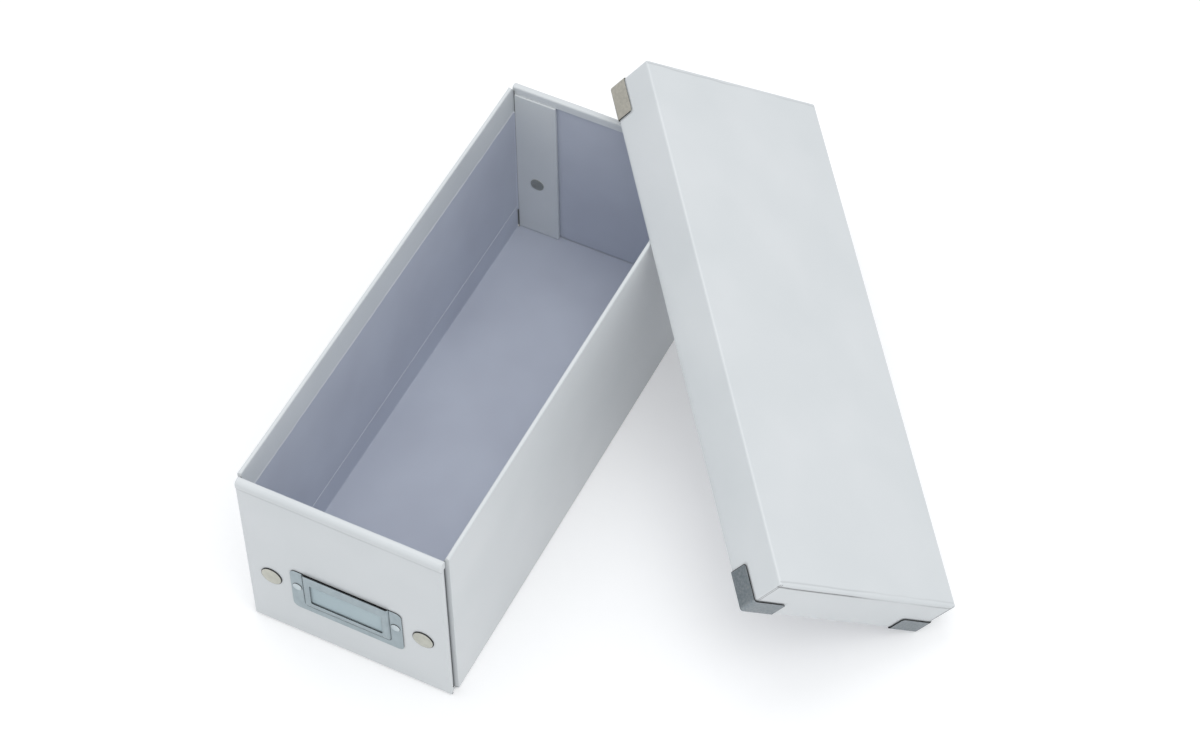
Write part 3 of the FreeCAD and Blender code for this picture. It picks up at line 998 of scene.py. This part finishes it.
def lid_ring(x, y, inset, z):
    """A point of the lid's outline, drawn in by an inset that may pass the corner's own radius."""
    radius = max(LID_ROUND - inset, 0.3)
    place = Vector((x, y, 0))
    base = clamped(place, -LID_CORE, LID_CORE)
    core = LID_HIGH - Vector((inset + radius, inset + radius, 0))
    moved = Vector((base.x * core.x / LID_CORE.x, base.y * core.y / LID_CORE.y, z))
    return moved + (place - base).normalized() * radius


def metal_dent(p):
    """How far the paper is pressed in under a metal corner and just round it."""
    end_gap, side_gap = LID_HIGH.y - abs(p.y), LID_HIGH.x - abs(p.x)
    if min(end_gap, side_gap) > LID_ROUND:
        return 0.0
    along = METAL_LEG + DENT_REACH - max(end_gap, side_gap)
    above = METAL_HEIGHT + DENT_REACH - p.z
    return METAL_DENT * ease(along / DENT_REACH) * ease(above / DENT_REACH)


def crease_shift(p):
    """How far an end skirt's crease strays from a straight line, and how deep it is there."""
    sign = 1 if p.y > 0 else -1
    shift = 0.5 * waver((p.x, 11 * sign, 0), 13, 6) + 0.3 * waver((p.x, 5 * sign, 0), 40, 2)
    strength = 0.75 + 0.6 * waver((p.x, 4 * sign, 2), 24, 8) - 0.3 * p.x / LID_HIGH.x
    return shift, min(1.0, max(0.25, strength))


def lid_swell(p, direction):
    """Hollows of the lid's paper at a point: waves, end creases, seams and dents under metal."""
    end_gap, side_gap = LID_HIGH.y - abs(p.y), LID_HIGH.x - abs(p.x)
    shift, strength = crease_shift(p)
    hollow = LID_SPARE
    if direction.z > 0.7:
        hollow += 0.04 * (1 + waver((p.x, p.y, 0), 60, 5)) * ease(min(end_gap, side_gap) / 12)
    if abs(direction.x) < 0.3:
        drop = LID_HIGH.z - p.z
        padding = END_PADDING * ease(side_gap / 14) if p.y < 0 else 0.0
        if direction.z > 0.7:
            hollow += CREASE_SLIT * strength * bell(end_gap - TOP_CREASE - shift, 0.4)
            hollow -= 0.5 * padding * bell(end_gap - TOP_CREASE, 3.0)
        if abs(direction.y) > 0.7:
            hollow += (CREASE_SLIT + padding) * strength * bell(drop - END_CREASE, 0.35)
            hollow -= padding * bell(drop - END_CREASE, 2.4)
    if abs(direction.y) > 0.98 and p.z < LID_CORE.z:
        seam = SEAM_SLIT * bell(side_gap - SEAM_PLACE, SEAM_WIDTH)
        hollow += seam * ease((LID_CORE.z - p.z) / 0.6)
    if abs(direction.z) < 0.2:
        hollow += metal_dent(p)
    return -hollow


def lid_painted_shade(p):
    """Painted shade on the lid's paper at a point of its lattice: along the end creases and the
    seams.
    """
    end_gap, side_gap = LID_HIGH.y - abs(p.y), LID_HIGH.x - abs(p.x)
    if end_gap > 6 or p.z < METAL_HEIGHT - 1:
        return 0.0
    shift, strength = crease_shift(p)
    if p.z >= LID_HIGH.z:
        return 0.18 * strength * bell(end_gap - TOP_CREASE - shift, 0.5)
    if end_gap > 0.01:
        return 0.0
    seam = max(bell(side_gap - SEAM_PLACE, 0.25), 0.8 * bell(side_gap - 0.5, 0.25))
    crease = strength ** 2 * bell(LID_HIGH.z - p.z - END_CREASE, 0.7)
    return FOLD_SHADE * max(crease, seam)


def lid_place(p):
    """Where a point of the lid's lattice lies on its rounded, slightly uneven paper."""
    base = clamped(p, Vector((-LID_CORE.x, -LID_CORE.y, 0)), LID_CORE)
    direction = (p - base).normalized()
    place = base + direction * (LID_ROUND + lid_swell(p, direction))
    if abs(direction.y) > 0.98:
        near_crease = ease(1 - abs(LID_HIGH.z - p.z - END_CREASE) / 1.6)
        place.z -= 0.55 * crease_shift(p)[0] * near_crease * ease((LID_CORE.x - abs(p.x)) / 4)
    return LID @ place


def lid_lines(high, near, step):
    """Lattice lines across the lid: its rounded edges, given gaps from each edge, and the rest."""
    bends = bend_lines(-high, high, LID_ROUND)
    gaps = [high - g for g in near]
    inner = gaps[-1] - step
    return merged(bends + gaps + [-g for g in gaps] + spread(-inner, inner, step))


def lid_paper():
    """Outer paper of the lid: top and skirts in one, round the rim and turned in."""
    leg = tuple(METAL_LEG + d for d in (-1, -0.2, 0.05, 0.35, 0.7, 1.4))
    seam = tuple(SEAM_PLACE + d for d in (-0.3, -0.15, 0.0, 0.15, 0.3, 0.6))
    end_gaps = (1.5, 1.8, 2.1, 2.4, 2.7, 3.0, 3.5, 4.2, 5.5, 8, 11, 15, 19)
    xs = lid_lines(LID_HIGH.x, seam + (3.3, 5.0, 7, 9.5, 12, 15, 18, 21) + leg, 1.6)
    ys = lid_lines(LID_HIGH.y, end_gaps + leg, 5)
    zs = spread(0.6, METAL_HEIGHT - 2, 2.5) + spread(METAL_HEIGHT + 3, LID_HIGH.z - 6, 2.5)
    zs += [METAL_HEIGHT + d for d in (-1, -0.1, 0.1, 0.35, 0.7, 1.4)]
    zs += [LID_HIGH.z - END_CREASE + d
           for d in (-2.0, -1.4, -0.9, -0.5, -0.25, -0.12, 0.0, 0.12, 0.25, 0.5, 0.9)]
    zs = merged(zs + [z for z in bend_lines(0, LID_HIGH.z, LID_ROUND) if z > LID_HIGH.z / 2])
    shade_marks = []

    def place(p):
        shade_marks.append(lid_painted_shade(p))
        return lid_place(p)

    def rim_point(x, y, inset, z):
        dent = metal_dent(Vector((x, y, z))) if inset < 1 else 0
        return LID @ lid_ring(x, y, inset + dent, z)

    points, faces, above = box_skin(xs, ys, zs, place, foot=False)
    loop = [(xs[i], ys[j]) for i, j in outline(len(xs) - 1, len(ys) - 1)]
    rim = [(0.12, 0.2), (0.45, 0.02), (LID_WALL - 0.45, 0.02), (LID_WALL - 0.12, 0.2),
           (LID_WALL, 0.6), (LID_WALL, LID_TURN_IN / 2), (LID_WALL, LID_TURN_IN + 2)]
    rows = [[rim_point(x, y, *ring) for x, y in loop] for ring in rim]
    add_rows(points, faces, above, rows, True)
    shade_marks += [0.0] * (len(points) - len(shade_marks))
    paper("lid_paper", points, faces, "lid", ["lid_wrap"], shade_marks)


def lid_lining():
    """Lining of the lid: under its top, and down the skirts over the turned-in paper."""
    inset = LID_WALL + LINING
    half = LID_HIGH - Vector([inset] * 3)
    radius = 0.6
    core = half - Vector([radius] * 3)

    def place(p):
        base = clamped(p, Vector((-core.x, -core.y, LID_TURN_IN)), core)
        sag = 0.08 * waver(p, 45, 12)
        return LID @ (base + (p - base).normalized() * (radius + min(0, sag)))

    xs, ys = [merged(bend_lines(-h, h, radius, 3) + spread(2 - h, h - 2, 5)) for h in half.xy]
    zs = [LID_TURN_IN] + spread(LID_TURN_IN + 2, half.z - 2, 4)
    zs = merged(zs + [z for z in bend_lines(0, half.z, radius, 3) if z > half.z / 2])
    points, faces, _ = box_skin(xs, ys, zs, place, foot=False)
    lining("lid_inner_lining", points, flipped(faces), ["lid_lining"], "lid")


def metal_plan(place, inset):
    """Plan of a metal corner at an inset from its outside. Place runs along both legs through 0."""
    radius = max(METAL_TURN - inset, 0.25)
    draw_in = METAL - inset - radius
    middle = LID_HIGH + Vector((draw_in, draw_in, 0))
    if abs(place) <= METAL_TURN:
        angle = math.radians(45 + 45 * place / METAL_TURN)
        return middle.x + radius * math.cos(angle), middle.y + radius * math.sin(angle)
    run = (abs(place) - METAL_TURN) / (METAL_REACH - METAL_TURN)
    if place > 0:
        return middle.x + (LID_HIGH.x - METAL_REACH - middle.x) * run, middle.y + radius
    return middle.x + radius, middle.y + (LID_HIGH.y - METAL_REACH - middle.y) * run


def metal_corner(name, side_x, side_y):
    """A pressed corner: rounded legs over both skirts, hemmed under the rim and up inside."""
    across = corner_lines(METAL_REACH, METAL_ROUND, 1, 5)
    across += spread(METAL_TURN, METAL_REACH - METAL_ROUND, 2.5)
    across = merged([-a for a in across] + across + spread(-METAL_TURN, METAL_TURN, METAL_TURN / 4))
    up = corner_lines(METAL_HEIGHT, METAL_ROUND, 1, 5)
    up = merged(up + spread(METAL_FOOT, METAL_HEIGHT - METAL_ROUND, 2))

    def inside(a, z, head=METAL_HEIGHT):
        return inside_round(a, z, METAL_REACH, -METAL_HEIGHT, head, METAL_ROUND)

    def keep(a, z):
        return inside(a, z) > -SLACK

    places, faces = cut_grid(across, up, keep)
    points = [Vector((*metal_plan(a, 0.1 * ease(1 - inside(a, z) / 0.5)), z)) for a, z in places]
    middles = [[sum(places[i][k] for i in face) / len(face) for k in (0, 1)] for face in faces]
    hem = [(0.05, 0.0), (0.2, -0.28), (0.5, 0.02 - METAL), (HEM - 0.5, 0.02 - METAL),
           (HEM - 0.15, -0.25), (HEM, 0.1), (HEM, METAL_INNER / 2), (HEM, METAL_INNER)]
    rows = [[Vector((*metal_plan(a, inset), z)) for a in across] for inset, z in hem]
    add_rows(points, faces, [places.index((a, METAL_FOOT)) for a in across], rows, False)
    points = [LID @ Vector((side_x * p.x, side_y * p.y, p.z)) for p in points]
    node = "lid_corner_" + name
    warm = name == "rear_left"
    piece = build(node + "_metal", points, flipped(faces, side_x * side_y > 0), "lid",
                  "corner_steel", [node], CORNER_WARM if warm else CORNER, SHADOW_EDGE)
    # A dark border round the legs and dark cut edges: painted shadow line where the metal meets the
    # paper.
    head = 2 * METAL_HEIGHT if warm else METAL_HEIGHT
    for polygon, (a, z) in zip(piece.data.polygons, middles):
        if inside(a, z, head) < METAL_BORDER:
            polygon.material_index = 1
    thicken(piece, METAL_SHEET, edge_material=0 if warm else 1)


def lid_pieces():
    lid_paper()
    lid_lining()
    for corner in CORNERS:
        metal_corner(*corner)


# CAD shapes that are kept

def set_material(material, *nodes):
    """A CAD node whose shape is right keeps it, and gets a finish."""
    for node in nodes:
        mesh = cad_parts[node].data
        mesh.materials.clear()
        mesh.materials.append(material)


def carried_over():
    set_material(BOARD, *[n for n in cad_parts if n.endswith(("_board", "_rim_strip"))])
    set_material(WHITE, "base_wrap")
    set_material(CARD, "label_card")
    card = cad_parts["label_card"].data
    # The card's top edge gets the dark edge material: a painted shadow line.
    card.materials.append(SHADOW_EDGE)
    shadow_above(card, size("label_card")[1].z - 0.01)
    for end in ("front", "rear"):
        set_material(NICKEL, end + "_stud_sockets", end + "_flap_studs")


# Studio

WORLD_LIGHT = 0.76
FLOOR_GLOW = 0.3
FLOOR_REACH = 20.0
LAMP_AIM = Vector((0.1, 0.0, 0.08))


def camera():
    """The camera, with the place and the lens of the photograph's."""
    forward = CAMERA_RIGHT.cross(CAMERA_DOWN)
    turn = Matrix((CAMERA_RIGHT, -CAMERA_DOWN, -forward)).transposed()
    data = bpy.data.cameras.new("camera")
    data.lens = CAMERA_LENS
    data.sensor_width = SENSOR
    data.clip_end = 50
    shot = add_object("camera", data)
    shot.matrix_world = Matrix.Translation(CAMERA_PLACE) @ turn.to_4x4()
    bpy.context.scene.camera = shot


def seen_by_eye(tree):
    """1 for camera, glossy and transmission rays."""
    path = add_node(tree, "LightPath", {})
    total = path.outputs["Is Camera Ray"]
    for name in ("Is Glossy Ray", "Is Transmission Ray"):
        larger = add_node(tree, "Math", {0: total, 1: path.outputs[name]})
        larger.operation = "MAXIMUM"
        total = larger.outputs[0]
    return total


def surroundings():
    """White all round for the eye, and soft cool light for everything else."""
    world = bpy.data.worlds.new("studio")
    bpy.context.scene.world = world
    world.use_nodes = True
    tree = world.node_tree
    tree.nodes.clear()
    soft = add_node(tree, "Background", {"Color": (0.95, 0.97, 1.0, 1), "Strength": WORLD_LIGHT})
    white = add_node(tree, "Background", {"Color": (1, 1, 1, 1)})
    mix = add_node(tree, "MixShader", {"Fac": seen_by_eye(tree), 1: soft.outputs[0],
                                       2: white.outputs[0]})
    add_node(tree, "OutputWorld", {"Surface": mix.outputs[0]})


def floor():
    """A plain pale floor that looks white to the eye and keeps the object's shadow."""
    mesh = bpy.data.meshes.new("floor")
    corners = [(FLOOR_REACH * x, FLOOR_REACH * y, 0)
               for x, y in ((-1, -1), (1, -1), (1, 1), (-1, 1))]
    mesh.from_pydata(corners, [], [(0, 1, 2, 3)])
    ground = add_object("floor", mesh)
    material = bpy.data.materials.new("floor_white")
    material.use_nodes = True
    mesh.materials.append(material)
    tree = material.node_tree
    tree.nodes.clear()
    plain = add_node(tree, "BsdfDiffuse", {"Color": (0.8, 0.8, 0.8, 1)})
    glow = add_node(tree, "Emission", {"Color": (1, 1, 1, 1), "Strength": FLOOR_GLOW})
    seen = add_node(tree, "MixShader", {"Fac": seen_by_eye(tree), 2: glow.outputs[0]})
    both = add_node(tree, "AddShader", {0: plain.outputs[0], 1: seen.outputs[0]})
    add_node(tree, "OutputMaterial", {"Surface": both.outputs[0]})


def lamp(name, place, across, watts):
    """A square soft lamp that faces the box."""
    data = bpy.data.lights.new(name, "AREA")
    data.shape = "SQUARE"
    data.size = across
    data.energy = watts
    light = add_object(name, data)
    light.location = place
    light.rotation_euler = (LAMP_AIM - Vector(place)).to_track_quat("-Z", "Y").to_euler()


def studio():
    surroundings()
    floor()
    lamp("key", (0.9, -0.5, 1.9), 1.2, 8.5)
    lamp("top", (-0.3, 0.3, 2.0), 1.2, 6)
    lamp("low", (0.65, -1.05, 0.2), 0.6, 0.8)


camera()
studio()
body_pieces()
round_pieces()
label_holder()
lid_pieces()
carried_over()
bpy.context.scene.view_settings.view_transform = "Standard"
